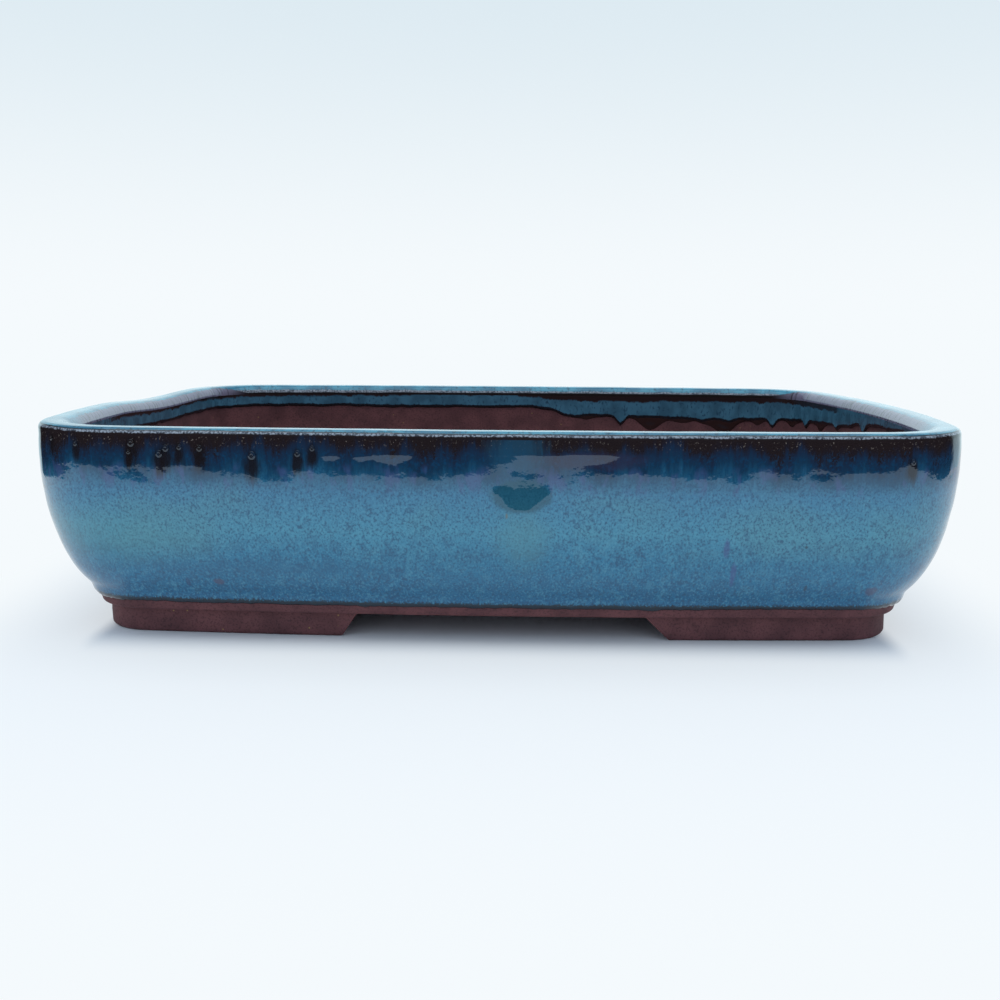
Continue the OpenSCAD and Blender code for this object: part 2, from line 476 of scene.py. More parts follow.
def soften(piece, low_angle, width, segments):
    bpy.ops.mesh.select_all(action="DESELECT")
    mesh = bmesh.from_edit_mesh(piece.data)
    for edge in mesh.edges:
        sharp = edge.is_manifold and edge.calc_face_angle() > math.radians(low_angle)
        edge.select_set(sharp and not all(v.co.z / MM > foot_h - 0.01 for v in edge.verts))
    bmesh.update_edit_mesh(piece.data)
    bpy.ops.mesh.bevel(offset=width * MM, segments=segments, affect="EDGES", clamp_overlap=True)


# %% [markdown]
# The strip is copied to each corner and turned over as needed. The two front feet were cut by
# eye: the left one is a little long and the right one a little short, with a longer slope.

# %% Four feet
foot_cuts = {
    # which way it faces, long side's gap and slope, short side's gap
    "foot_back_right": (1, 1, gap_long, foot_slope, gap_short),
    "foot_back_left": (-1, 1, gap_long, foot_slope, gap_short),
    "foot_front_right": (1, -1, gap_long + 2.7, foot_slope + 1.5, gap_short),
    "foot_front_left": (-1, -1, gap_long - 1.2, foot_slope - 0.8, gap_short),
}
feet = {}
for name, (sx, sy, gap_x, slope_x, gap_y) in foot_cuts.items():
    deselect()
    foot = strip.copy()
    foot.data = strip.data.copy()
    bpy.context.scene.collection.objects.link(foot)
    foot.name = foot.data.name = name + "_clay"
    foot.select_set(True)
    bpy.context.view_layer.objects.active = foot
    bpy.ops.object.mode_set(mode="EDIT")
    bpy.ops.mesh.select_all(action="SELECT")
    bpy.ops.transform.resize(value=(sx, sy, 1), center_override=(0, 0, 0))
    bpy.ops.mesh.normals_make_consistent(inside=False)
    cut_end(0, sx * gap_x, slope_x)
    cut_end(1, sy * gap_y, foot_slope)
    soften(foot, 38, 0.7, 3)
    close_up(45)
    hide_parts(name)
    feet[name] = foot
bpy.data.objects.remove(strip)
print("feet:", sorted(feet))


# %% [markdown]
# Sponged clay isn't flat, so each foot's faces swell in and out by a fraction of a
# millimetre. The soles stay flat because the pot was ground level after firing.


# %% Uneven feet
def sponged(x, y, z, inset):
    return 0.25 * swell(x, y, z * 2, 7, 3.0) * min(1, z / 1.5) * min(1, max(0, foot_h - z) / 0.5)


for piece in feet.values():
    ripple(piece, sponged)
print("sponged:", len(feet), "feet")

# %% [markdown]
# ## The glaze outside
# Glaze is a coat of glass about 0.7 mm thick. It melts, runs down, and stops in a thick roll
# where the potter waxed the foot. Its surface is never flat: slow ripples bend what it
# mirrors, so the edge of a reflection wanders. That is modelled as real displacement, since
# paint can't do it from every side.

# %% Outer glaze coat
coat_t = glaze_t - 0.06
roll = [(-0.02, 8.7), (0.4, 8.75), (0.74, 9.1), (0.92, 9.7), (0.88, 10.4), (0.76, 11.2)]
outer_section = (
    [(clay_inset(z) - proud, z) for proud, z in roll]
    + face(clay_inset, 12.0, shoulder_z, 0.72, coat_t)
    + list(reversed(face(clay_inset, 9.0, shoulder_z, 4)))
)
outer_coat = ring("outer_glaze_coat", outer_section)

# %% [markdown]
# Where the glaze gathered it stands proud in runs and drops. Each one here has a place along
# the front wall, the heights where it starts, peaks and ends, and how far it stands out.
# The slope towards the peak steepens, as it does on a drop that sagged before it froze.

# %% Ripples and drops of the outer glaze
drops = [
    # x, half width, foot of it, peak, top of it, rise
    (7.0, 6.5, 32.4, 34.0, 41.4, 0.86),
    (13.0, 15.0, 43.4, 48.4, 50.4, 0.33),
    (27.0, 11.5, 45.0, 48.2, 50.2, 0.20),
    (-37.0, 3.0, 45.0, 47.6, 49.4, 0.27),
    (-29.7, 2.4, 45.0, 47.4, 49.2, 0.25),
    (-22.6, 5.4, 45.0, 47.8, 49.6, 0.30),
    (2.0, 5.0, 42.6, 46.0, 48.0, 0.10),
    (-104.0, 7.0, 42.0, 46.0, 48.5, 0.12),
]


def drop_rise(x, z):
    total = 0
    for place, half, low, peak, high, rise in drops:
        across = (x - place) / half
        if abs(across) < 1:
            size = math.sqrt(1 - across**2)
            hangs = high - peak > peak - low
            tip = high - (high - peak) * size if hangs else peak
            bottom = tip - (peak - low) * (1 if hangs else size)
            if bottom < z < high:
                up = (z - bottom) / (tip - bottom) if z < tip else (high - z) / (high - tip)
                total += rise * size * up**1.7
    return total


def flattened(x, y):
    return 0.27 * math.exp(-((x / 34) ** 2)) if y < 0 and abs(x) < 90 else 0


def glaze_ripple(x, y, z, inset):
    if inset > clay_inset(z) - 0.3:
        return 0
    fade = min(1, max(0, shoulder_z - z) / 1.5) * min(1, max(0, z - 11) / 3)
    slow = min(1, max(0, shoulder_z - z) / 12) * min(1, max(0, z - 11) / 3)
    push = 0.19 * swell(x, y, z * 1.2, 19, 5.0) + 0.095 * swell(x, y, z * 1.3, 7, 9.0)
    push += 0.02 * swell(x, y, z, 2.6, 1.0)
    if y < 0:
        push += drop_rise(x, z)
    return push * fade - 0.12 * slow - flattened(x, y) * min(1, max(0, z - 11) / 3)


def serrate(piece):
    for v in piece.data.vertices:
        x, y, z = v.co / MM
        if z < 10.8:
            (ox, oy), _, _ = beside(x, y)
            near = min(1, (10.8 - z) / 1.5)
            jag = 0.3 * swell(ox, oy, 0, 1.9) + 0.4 * swell(ox, oy, 0, 19, 2.0)
            v.co.z += jag * near * MM
    piece.data.update()


ripple(outer_coat, glaze_ripple)
serrate(outer_coat)
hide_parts("outer_glaze")

# %% [markdown]
# ## The glaze on the rim
# Over a sharp rim the melt pulls thin and shows pale, which potters call breaking.

# %% Rim glaze coat
rim_section = (
    outer_shoulder(coat_t, 8)
    + inner_shoulder(coat_t, 10)
    + list(reversed(outer_shoulder(0, 3) + inner_shoulder(0, 4)))
)
rim_coat = ring("rim_glaze_coat", rim_section)
rim_inside = inner_inset(inner_shoulder_z) - lip_inner_r


def rim_flattened(x, y, z, inset):
    return -flattened(x, y) * min(1, max(0, (rim_inside - inset) / 2.8))


ripple(rim_coat, rim_flattened)
for v in rim_coat.data.vertices:
    x, y, z = v.co / MM
    (ox, oy), _, inset = beside(x, y)
    if z > clay_top + 0.3:
        v.co.z += (0.05 * swell(ox, oy, 0, 12, 1.0) + 0.02 * swell(ox, oy, inset, 3, 1.0) - 0.05) * MM
rim_coat.data.update()
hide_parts("rim_glaze")

# %% [markdown]
# ## The glaze collar inside
# The pot was dipped upside down for a moment, so glaze reaches a little way down inside and
# ends in a wandering line with drips. At the back right it ran furthest. The teal glaze has a
# fringe below it, where it was thin and stayed dark brown.

# %% The line where the collar ends
collar_top = inner_shoulder_z
teal_heights = [
    # direction from the pot's middle in degrees, height of the line
    (-180, 45.4), (-144, 45.6), (-90, 45.2), (-50, 45.6), (-35, 47.6), (-22, 48.6), (0, 46.9),
    (18, 43.6), (36, 42.3), (50, 41.5), (62, 42.1), (75, 42.8), (81, 44.9), (86, 45.5),
    (144, 45.6), (180, 45.4),
]
teal_drips = [
    # x, y, half width, how far it runs
    (42.7, 88.0, 1.8, 3.0), (73.0, 87.0, 2.0, 0.8), (83.0, 86.0, 2.5, 1.0), (25.0, 88.5, 4.0, 0.8),
    (102.7, 81.4, 2.2, 2.8), (114.8, 62.6, 2.4, 2.4), (118.5, 35.0, 2.0, 1.2), (119.9, 9.0, 2.6, 2.8),
]
fringes = [
    (54.0, 88.0, 4.5, 4.6), (81.0, 86.5, 5.5, 4.4), (66.0, 87.5, 3.5, 1.5), (30.0, 88.5, 3.0, 1.2),
    (96.0, 84.5, 3.0, 2.0), (110.0, 73.0, 3.0, 2.2), (117.0, 50.0, 3.5, 2.6),
]


def runs(x, y, places):
    return sum(
        depth * math.exp(-((x - px) ** 2 + (y - py) ** 2) / half**2) for px, py, half, depth in places
    )


def teal_line(x, y):
    turn = math.degrees(math.atan2(y, x))
    for (a, low), (b, high) in zip(teal_heights, teal_heights[1:]):
        if a <= turn <= b:
            t = (turn - a) / (b - a)
            line = low + (high - low) * t * t * (3 - 2 * t)
    wander = 0.5 * swell(x, y, 0, 17, 4.0) + 0.35 * swell(x, y, 0, 4.5, 4.0)
    return line + wander - runs(x, y, teal_drips)


def drip_line(x, y):
    return teal_line(x, y) - 0.45 - 0.5 * abs(swell(x, y, 0, 6, 8.0)) - runs(x, y, fringes)


print("collar's line at the back:", [round(teal_line(x, 88), 1) for x in range(-80, 81, 20)])

# %% [markdown]
# The collar is spun with even rows, and each of its columns is then stretched down to the
# line at that place and thinned to a rounded lip.

# %% Collar
collar_rows = 22
collar_h = 5.0
collar_low = collar_top - collar_h
collar_section = (
    face(inner_inset, collar_low, collar_top, collar_h / collar_rows)
    + list(reversed(face(inner_inset, collar_low, collar_top, collar_h / collar_rows, -coat_t)))
)
collar = ring("inner_glaze_collar", collar_section)
for v in collar.data.vertices:
    x, y, z = v.co / MM
    (ox, oy), out, inset = beside(x, y)
    down = (collar_top - z) / (collar_top - collar_low)
    new_z = collar_top - down * (collar_top - drip_line(ox, oy))
    above = new_z - teal_line(ox, oy)
    thin = 0.55 + 0.45 * min(1, max(0, (above + 0.8) / 0.9))
    lip = math.sqrt(max(0.02, 1 - max(0, down - 0.88) ** 2 / 0.12**2))
    new_inset = inner_inset(new_z) + (inset - inner_inset(z)) * thin * lip
    shift = inset - new_inset
    v.co = Vector((v.co.x + out[0] * shift * MM, v.co.y + out[1] * shift * MM, new_z * MM))
collar.data.update()
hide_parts("inner_glaze")
print("collar reaches down to", round(min(v.co.z for v in collar.data.vertices) / MM, 1), "mm")

# %% [markdown]
# ## Blisters
# Gas from the clay rose through the glaze near the rim and left little blisters, some of
# them burst. One is modelled from half a ball: it is cut in two, its crown is inset and
# pushed in to make a crater, and it is flattened. The others are copies, each its own size.

# %% One blister
deselect()
bpy.ops.mesh.primitive_uv_sphere_add(segments=28, ring_count=16, radius=1 * MM)
blister = bpy.context.object
blister.name = blister.data.name = "blister_1"
bpy.ops.object.mode_set(mode="EDIT")
bpy.ops.mesh.select_all(action="SELECT")
bpy.ops.mesh.bisect(plane_co=(0, 0, -0.1 * MM), plane_no=(0, 0, 1), use_fill=True, clear_inner=True)
bpy.ops.mesh.select_all(action="DESELECT")
mesh = bmesh.from_edit_mesh(blister.data)
for f in mesh.faces:
    f.select_set(f.calc_center_median().z > 0.9 * MM)
bmesh.update_edit_mesh(blister.data)
bpy.ops.mesh.inset(thickness=0.08 * MM, depth=0)
bpy.ops.transform.translate(value=(0, 0, -0.3 * MM))
bpy.ops.mesh.select_all(action="SELECT")
bpy.ops.transform.resize(value=(1, 1, 0.28))
bpy.ops.object.mode_set(mode="OBJECT")
bpy.ops.object.shade_smooth_by_angle(angle=math.radians(60))
print("blister:", len(blister.data.polygons), "faces")

# %% The other blisters
blister_places = [
    # x, z, radius
    (-104.7, 49.6, 0.5), (-97.1, 48.9, 0.55), (-83.2, 49.4, 0.8), (-83.9, 47.3, 0.5),
    (-76.6, 47.0, 0.8), (-75.0, 48.3, 0.75), (-71.8, 48.6, 0.6), (-67.0, 48.4, 0.7),
    (-54.8, 46.9, 0.9), (-44.2, 47.5, 0.7), (-40.8, 48.7, 0.6), (96.2, 46.4, 0.65),
]
pattern_mesh = blister.data.copy()
blisters = []
for number, (x, z, radius) in enumerate(blister_places, 1):
    if number > 1:
        blister = bpy.data.objects.new(f"blister_{number}", pattern_mesh.copy())
        blister.data.name = blister.name
        bpy.context.scene.collection.objects.link(blister)
    y_guess = -half_d + 1
    (ox, oy), out, _ = beside(x, y_guess)
    surface = clay_inset(z) - coat_t - glaze_ripple(ox, oy, z, 0)
    while beside(x, y_guess)[2] < surface:
        y_guess += 0.02
    deselect()
    blister.select_set(True)
    bpy.context.view_layer.objects.active = blister
    blister.scale = (radius, radius * 1.15, radius)
    blister.rotation_euler = (math.pi / 2, 0, math.atan2(out[1], out[0]) + math.pi / 2)
    blister.location = (x * MM, y_guess * MM, z * MM)
    bpy.ops.object.transform_apply(location=True, rotation=True, scale=True)
    blisters.append(blister)
print("blisters:", len(blisters))

# %% [markdown]
# ## A place on the pot for every pattern
# Streaks in the glaze run straight down the wall, even where the belly slopes. So each
# vertex of a glazed piece carries an attribute called `run`: the nearest point of the
# outline and the height. A pattern that reads it runs down the wall and never slides.


# %% Write the run attribute
def mark_run(piece):
    layer = piece.data.attributes.new("run", "FLOAT_VECTOR", "POINT")
    for v in piece.data.vertices:
        x, y, z = v.co / MM
        (ox, oy), _, _ = beside(x, y)
        layer.data[v.index].vector = (ox, oy, z)


for piece in [outer_coat, rim_coat, collar] + blisters:
    mark_run(piece)
print("run marked on", len(blisters) + 3, "pieces")


# %% [markdown]
# ## Materials
# Colours are written as sRGB hex values, as a colour picker gives them, and one function
# turns them linear. One small function adds a node with its settings and its links.


# %% Material helpers
def colour(hex_value):
    channels = [int(hex_value[i : i + 2], 16) / 255 for i in (1, 3, 5)]
    linear = [c / 12.92 if c <= 0.04045 else ((c + 0.055) / 1.055) ** 2.4 for c in channels]
    return (*linear, 1.0)


def new_material(name):
    material = bpy.data.materials.new(name)
    material.use_nodes = True
    material.node_tree.nodes.clear()
    return material, material.node_tree


def add(tree, kind, inputs=None, **settings):
    node = tree.nodes.new(kind)
    for key, value in settings.items():
        setattr(node, key, value)
    for key, value in (inputs or {}).items():
        if isinstance(value, bpy.types.NodeSocket):
            tree.links.new(value, node.inputs[key])
        else:
            node.inputs[key].default_value = value
    return node


def wear(piece, material):
    piece.data.materials.clear()
    piece.data.materials.append(material)


def finish(tree, looks):
    shader = add(tree, "ShaderNodeBsdfPrincipled", looks)
    add(tree, "ShaderNodeOutputMaterial", {"Surface": shader.outputs[0]})


print("linear teal:", [round(c, 3) for c in colour("#4f8299")])


# %% [markdown]
# Pattern tools, each named for what it does. `grain` is noise at a size in millimetres.
# `step_up` turns a value into a soft-edged mask, and `both` is where two masks meet, or a share
# of one. `pushed` moves a value by others, `past` is how far it lies beyond a place, and
# `centred` makes a pattern swing round zero. `lay` puts a colour over another through a mask.
# `spot` is a ragged oval mask on the front wall.


# %% Pattern tools
def grain(tree, place, size, stretch_z=1.0, detail=2.0, shift=0.0, rough=0.5):
    scale = (1 / size, 1 / size, 1 / (size * stretch_z))
    squeezed = add(
        tree, "ShaderNodeMapping", {"Vector": place, "Location": (shift, shift, shift), "Scale": scale}
    )
    texture = add(
        tree, "ShaderNodeTexNoise",
        {"Vector": squeezed.outputs[0], "Scale": 1.0, "Detail": detail, "Roughness": rough},
    )
    return texture.outputs["Fac"]


def step_up(tree, value, low, high):
    node = add(
        tree, "ShaderNodeMapRange",
        {"Value": value, "From Min": low, "From Max": high, "To Min": 0.0, "To Max": 1.0},
        interpolation_type="SMOOTHSTEP",
    )
    return node.outputs["Result"]


def both(tree, mask, other):
    return add(tree, "ShaderNodeMath", {0: mask, 1: other}, operation="MULTIPLY").outputs[0]


def pushed(tree, value, *pushes):
    for push in pushes:
        value = add(tree, "ShaderNodeMath", {0: value, 1: push}, operation="ADD").outputs[0]
    return value


def past(tree, value, place):
    return add(tree, "ShaderNodeMath", {0: value, 1: place}, operation="SUBTRACT").outputs[0]


def centred(tree, value, size):
    return both(tree, past(tree, value, 0.5), size)


def lay(tree, under, mask, over, strength=1.0):
    under, over = [colour(c) if isinstance(c, str) else c for c in (under, over)]
    cover = both(tree, mask, strength)
    return add(tree, "ShaderNodeMix", {0: cover, 6: under, 7: over}, data_type="RGBA").outputs[2]


# %% Places on the pot
def run_of(tree):
    place = add(tree, "ShaderNodeAttribute", attribute_name="run").outputs["Vector"]
    parts = add(tree, "ShaderNodeSeparateXYZ", {0: place})
    return place, parts.outputs


def spot(tree, xyz, x, z, half_x, half_z, soft, wobble):
    across = both(tree, past(tree, xyz[0], x), 1 / half_x)
    up = both(tree, past(tree, xyz[2], z), 1 / half_z)
    squares = [both(tree, side, side) for side in (across, up)]
    away = add(tree, "ShaderNodeMath", {0: pushed(tree, *squares)}, operation="SQRT").outputs[0]
    mask = step_up(tree, pushed(tree, away, wobble), 1 + soft, 1 - soft)
    front = add(tree, "ShaderNodeMath", {0: xyz[1], 1: 0.0}, operation="LESS_THAN").outputs[0]
    return both(tree, mask, front)


print("pattern tools ready")


# %% [markdown]
# ### The blue glaze
# A stoneware glaze with iron and rutile, fired until it ran. Iron makes it brown-black where
# it is thin under the rim. Rutile floats up as fine vertical streaks, called hare's fur, and
# gathers lower down as a milky blue haze with darker specks. The surface is smooth glass, so
# its roughness is 0.05. Iron and titanium raise its IOR above window glass, to 1.68.


# %% The glaze by height
def ramp_of(tree, value, low, high, stops):
    node = add(tree, "ShaderNodeValToRGB")
    scaled = add(tree, "ShaderNodeMapRange", {"Value": value, "From Min": low, "From Max": high})
    tree.links.new(scaled.outputs[0], node.inputs[0])
    while len(node.color_ramp.elements) < len(stops):
        node.color_ramp.elements.new(0.5)
    for element, (height, value_hex) in zip(node.color_ramp.elements, stops):
        element.position = (height - low) / (high - low)
        element.color = colour(value_hex)
    return node.outputs["Color"]


glaze_heights = [
    # height in mm, colour
    (10.0, "#0f5e86"), (18.0, "#1a6b90"), (23.0, "#247396"), (29.0, "#3f89a5"), (38.5, "#35779a"),
    (42.5, "#1f4f6d"), (45.3, "#183751"), (47.3, "#1c2f48"), (49.5, "#231f27"), (51.0, "#261e20"),
]


def streaked(tree, place, xyz):
    fur = grain(tree, place, 1.0, 6.0, 2.0)
    fine_fur = grain(tree, place, 0.4, 6.0, 2.0, 7.0)
    sag = grain(tree, place, 6.0, 4.0, 2.0, 3.0)
    fur = pushed(tree, both(tree, fur, 0.6), both(tree, fine_fur, 0.4))
    upper = step_up(tree, xyz[2], 38.0, 45.0)
    shift = pushed(tree, centred(tree, sag, 13.0), centred(tree, fur, -8.0))
    height = pushed(tree, xyz[2], both(tree, shift, upper))
    return ramp_of(tree, height, 10.0, 53.0, glaze_heights), fur


print("colours down the wall:", len(glaze_heights))


# %% [markdown]
# The belly has a milky haze in its middle, and a mottle of darker and paler pools below. Over
# that lie specks about half a millimetre across, where crystals grew. The glaze darkens to a
# line along its lower edge, and tiny painted glints, pale specks that stand in for sparkles of
# light, sit in the brown under the rim.


# %% Haze, specks, veils and painted reflection
def hazy(tree, place, xyz, mottle, paint):
    cloud = grain(tree, place, 26.0, 0.6, 2.0, 11.0)
    middle = both(
        tree, step_up(tree, xyz[2], 19.0, 27.0), step_up(tree, xyz[2], 44.0, 36.0)
    )
    milky = both(tree, step_up(tree, cloud, 0.44, 0.66), middle)
    paint = lay(tree, paint, milky, "#4d8591", 0.4)
    low_room = step_up(tree, xyz[2], 33.0, 24.0)
    deep = both(tree, step_up(tree, mottle, 0.52, 0.36), low_room)
    paint = lay(tree, paint, deep, "#1b5276", 0.35)
    fair = both(tree, step_up(tree, mottle, 0.52, 0.68), low_room)
    return lay(tree, paint, fair, "#4a8ba3", 0.3)


def specked(tree, place, xyz, fur, speck, paint):
    below_brown = step_up(tree, pushed(tree, xyz[2], centred(tree, fur, 9.0)), 49.5, 46.0)
    dark = both(tree, step_up(tree, speck, 0.49, 0.35), below_brown)
    paint = lay(tree, paint, dark, "#123f60", 0.6)
    flow = grain(tree, place, 0.9, 1.5, 3.0, 51.0, 0.6)
    flowing = both(tree, step_up(tree, flow, 0.47, 0.36), below_brown)
    paint = lay(tree, paint, flowing, "#14486c", 0.45)
    lower = step_up(tree, xyz[2], 44.0, 36.0)
    pale = both(tree, step_up(tree, speck, 0.55, 0.66), lower)
    paint = lay(tree, paint, pale, "#5a9fb6", 0.35)
    edge_z = pushed(tree, xyz[2], centred(tree, speck, 1.8))
    paint = lay(tree, paint, step_up(tree, edge_z, 10.5, 9.7), "#101c27")
    # Painted glints: pale specks in the brown under the rim that stand in for sparkles of light.
    under_rim = step_up(tree, xyz[2], 48.0, 50.5)
    painted_glints = both(tree, step_up(tree, speck, 0.62, 0.72), under_rim)
    return lay(tree, paint, painted_glints, "#8a8078", 0.6)


# Violet columns in a band from 37.5 to 46 mm up: partly a veil in the glaze, partly painted reflection, a
# lavender tint along the height where the wall stops mirroring the sheet.
def violet_veil_and_painted_reflection(tree, place, xyz, paint):
    room = both(tree, step_up(tree, xyz[2], 37.5, 41.0), step_up(tree, xyz[2], 46.0, 43.0))
    columns = step_up(tree, grain(tree, place, 3.0, 2.2, 3.0, 61.0), 0.52, 0.66)
    return lay(tree, paint, both(tree, columns, room), "#4c5788", 0.45)


print("haze, specks and veils ready")

# %% [markdown]
# The front wall has its own marks: runs, the drop, a haze, a dark trail below each blister,
# violet streaks, rust smudges, and one lavender-grey patch of painted reflection. Each is one
# row of a table.

# %% Marks on the front wall
front_marks = [
    # x, z, half width, half height, softness, what makes its edge ragged, by how much,
    # strength, colour
    (6.0, 47.5, 6.0, 6.5, 0.5, "fur", 1.6, 0.6, "#23536f"),
    (7.5, 28.0, 5.5, 6.5, 0.7, "mottle", 1.0, 0.4, "#4f8993"),
    (7.0, 38.2, 7.0, 3.8, 0.15, "mottle", 0.4, 0.75, "#1f5062"),
    (-92.0, 27.0, 20.0, 6.0, 0.8, "mottle", 1.0, 0.35, "#4f8f96"),
    (-52.0, 19.6, 30.0, 1.5, 0.6, "mottle", 1.0, 0.35, "#17587c"),
]
for x, z, radius in blister_places:
    trail = 1.2 + 2.4 * radius
    front_marks.append((x, z + 0.8 - trail, radius * 1.9, trail, 0.6, "fur", 1.6, 0.9, "#1d181a"))
for x, z, half_x, half_z, shade in (
    (-73.8, 15.0, 0.5, 1.3, "#24345c"), (-66.1, 15.3, 1.2, 0.7, "#4d3f54"),
    (54.7, 26.1, 0.7, 2.4, "#39417a"), (57.0, 19.5, 0.6, 3.0, "#3b4980"),
    (75.0, 15.4, 0.35, 0.8, "#1d2f45"), (92.1, 14.4, 1.8, 1.1, "#453a56"),
    (3.7, 33.4, 0.25, 0.6, "#6d6a5c"), (-110.7, 37.0, 0.45, 0.45, "#15161c"),
    # The patch at 24 mm, 46.6 mm up is painted reflection: lavender-grey where the ripples there mirror
    # light.
    (73.2, 26.4, 0.35, 0.35, "#15161c"), (24.0, 46.6, 12.0, 2.0, "#33324a"),
):
    front_marks.append((x, z, half_x, half_z, 0.4, "mottle", 1.2, 0.6, shade))
print("marks on the front wall:", len(front_marks))


# %% The glaze outside
sheen = (0.74, 0.88, 1.0, 1.0)


def blue_glaze():
    material, tree = new_material("hares_fur_blue_glaze")
    place, xyz = run_of(tree)
    paint, fur = streaked(tree, place, xyz)
    mottle = grain(tree, place, 3.2, 1.0, 3.0, 21.0)
    speck = grain(tree, place, 0.5, 1.15, 2.0, 31.0, 0.6)
    paint = hazy(tree, place, xyz, mottle, paint)
    paint = specked(tree, place, xyz, fur, speck, paint)
    paint = violet_veil_and_painted_reflection(tree, place, xyz, paint)
    patterns = {"fur": fur, "mottle": mottle}
    for x, z, half_x, half_z, soft, pattern, ragged, strength, shade in front_marks:
        wobble = centred(tree, patterns[pattern], ragged)
        mask = spot(tree, xyz, x, z, half_x, half_z, soft, wobble)
        paint = lay(tree, paint, mask, shade, strength)
    skin = grain(tree, place, 2.6, 1.0, 3.0, 41.0, 0.45)
    bump = add(tree, "ShaderNodeBump", {"Strength": 1.0, "Distance": 0.00006, "Height": skin})
    looks = {"Base Color": paint, "Roughness": 0.05, "IOR": 1.68, "Specular Tint": sheen}
    finish(tree, {**looks, "Normal": bump.outputs[0]})
    return material


glaze_material = blue_glaze()
for piece in [outer_coat] + blisters:
    wear(piece, glaze_material)
print("glaze nodes:", len(glaze_material.node_tree.nodes))


# %% [markdown]
# ### The rim
# The same glaze, broken thin: pale specks along the outer arris, partly where almost none is
# left and partly a painted highlight of the light above, a dark hairline, then teal over the top.
# Inside it pools brown along the back, and violet at the two ends. The pattern follows `over`,
# the distance over the rim from the outside in, which each vertex of the rim coat carries.


# %% Distance over the rim
flat_start = clay_inset(shoulder_z) + lip_outer_r
flat_end = inner_inset(inner_shoulder_z) - lip_inner_r
outer_turn = (lip_outer_r + glaze_t) * quarter_turn
inner_turn = (lip_inner_r + glaze_t) * quarter_turn


def over_rim(inset, z):
    if inset < flat_start:
        return outer_turn * math.atan2(z - shoulder_z, flat_start - inset) / quarter_turn
    if inset < flat_end:
        return outer_turn + inset - flat_start
    turned = math.atan2(inset - flat_end, z - inner_shoulder_z) / quarter_turn
    return outer_turn + flat_end - flat_start + inner_turn * turned


over_layer = rim_coat.data.attributes.new("over", "FLOAT", "POINT")
for v in rim_coat.data.vertices:
    x, y, z = v.co / MM
    over_layer.data[v.index].value = over_rim(beside(x, y)[2], z)
print("over the rim it is", round(outer_turn + flat_end - flat_start + inner_turn, 1), "mm")


# %% Rim glaze
def pooled(tree, xyz, fur, over, paint):
    to_right = step_up(tree, xyz[0], -120.0, 30.0)
    aside = add(tree, "ShaderNodeMath", {0: xyz[0]}, operation="ABSOLUTE").outputs[0]
    at_ends = step_up(tree, aside, 101.0, 114.0)
    higher = both(tree, at_ends, pushed(tree, centred(tree, fur, 3.0), -2.6))
    start = pushed(tree, both(tree, to_right, -0.4), 10.3, higher)
    inside = step_up(tree, past(tree, over, start), -0.1, 0.1)
    reach = pushed(tree, xyz[1], both(tree, at_ends, 120.0))
    pool = both(tree, inside, step_up(tree, reach, 50.0, 75.0))
    violet = lay(tree, "#77738a", step_up(tree, fur, 0.5, 0.36), "#45414f")
    return lay(tree, paint, pool, lay(tree, "#231c1d", at_ends, violet))


def rim_glaze():
    material, tree = new_material("broken_rim_glaze")
    place, xyz = run_of(tree)
    paint, fur = streaked(tree, place, xyz)
    over = add(tree, "ShaderNodeAttribute", attribute_name="over").outputs["Fac"]
    across = add(tree, "ShaderNodeCombineXYZ", {0: xyz[0], 1: xyz[1], 2: over}).outputs[0]
    speck = grain(tree, across, 0.55, 1.0, 3.0, 5.0, 0.65)
    patch = grain(tree, across, 9.0, 1.0, 2.0, 15.0)
    dashes = grain(tree, across, 1.1, 1.6, 3.0, 35.0, 0.6)
    over = pushed(tree, over, centred(tree, speck, 0.6), centred(tree, patch, 0.6))
    teal = lay(tree, "#4690ab", step_up(tree, patch, 0.4, 0.6), "#33718f")
    teal = lay(tree, teal, step_up(tree, dashes, 0.47, 0.36), "#1b4157", 0.6)
    # Pale specks on the outer arris: partly glaze broken thin, partly a painted highlight of the light
    # above.
    pale = lay(tree, "#454a56", step_up(tree, speck, 0.42, 0.58), "#9ba5b2")
    paint = lay(tree, paint, step_up(tree, over, 0.65, 0.9), pale)
    paint = lay(tree, paint, step_up(tree, over, 1.3, 1.45), "#1c2935")
    paint = lay(tree, paint, step_up(tree, over, 1.6, 1.75), teal)
    at_back = step_up(tree, xyz[1], 55.0, 65.0)
    grey_line = both(tree, step_up(tree, over, 9.0, 9.3), at_back)
    paint = lay(tree, paint, grey_line, pale)
    paint = pooled(tree, xyz, fur, over, paint)
    bump = add(tree, "ShaderNodeBump", {"Strength": 0.35, "Distance": 0.00003, "Height": speck})
    looks = {"Base Color": paint, "Roughness": 0.12, "IOR": 1.55, "Normal": bump.outputs[0]}
    finish(tree, {**looks, "Specular Tint": (0.76, 0.92, 1.0, 1.0)})
    return material


wear(rim_coat, rim_glaze())
print("rim glaze on", rim_coat.name)


# %% [markdown]
# ### The collar inside
# Brown-black at the top along the back, then teal where the melt gathered, and a dark line
# along its edge. `above` is a vertex's height over the collar's teal line.


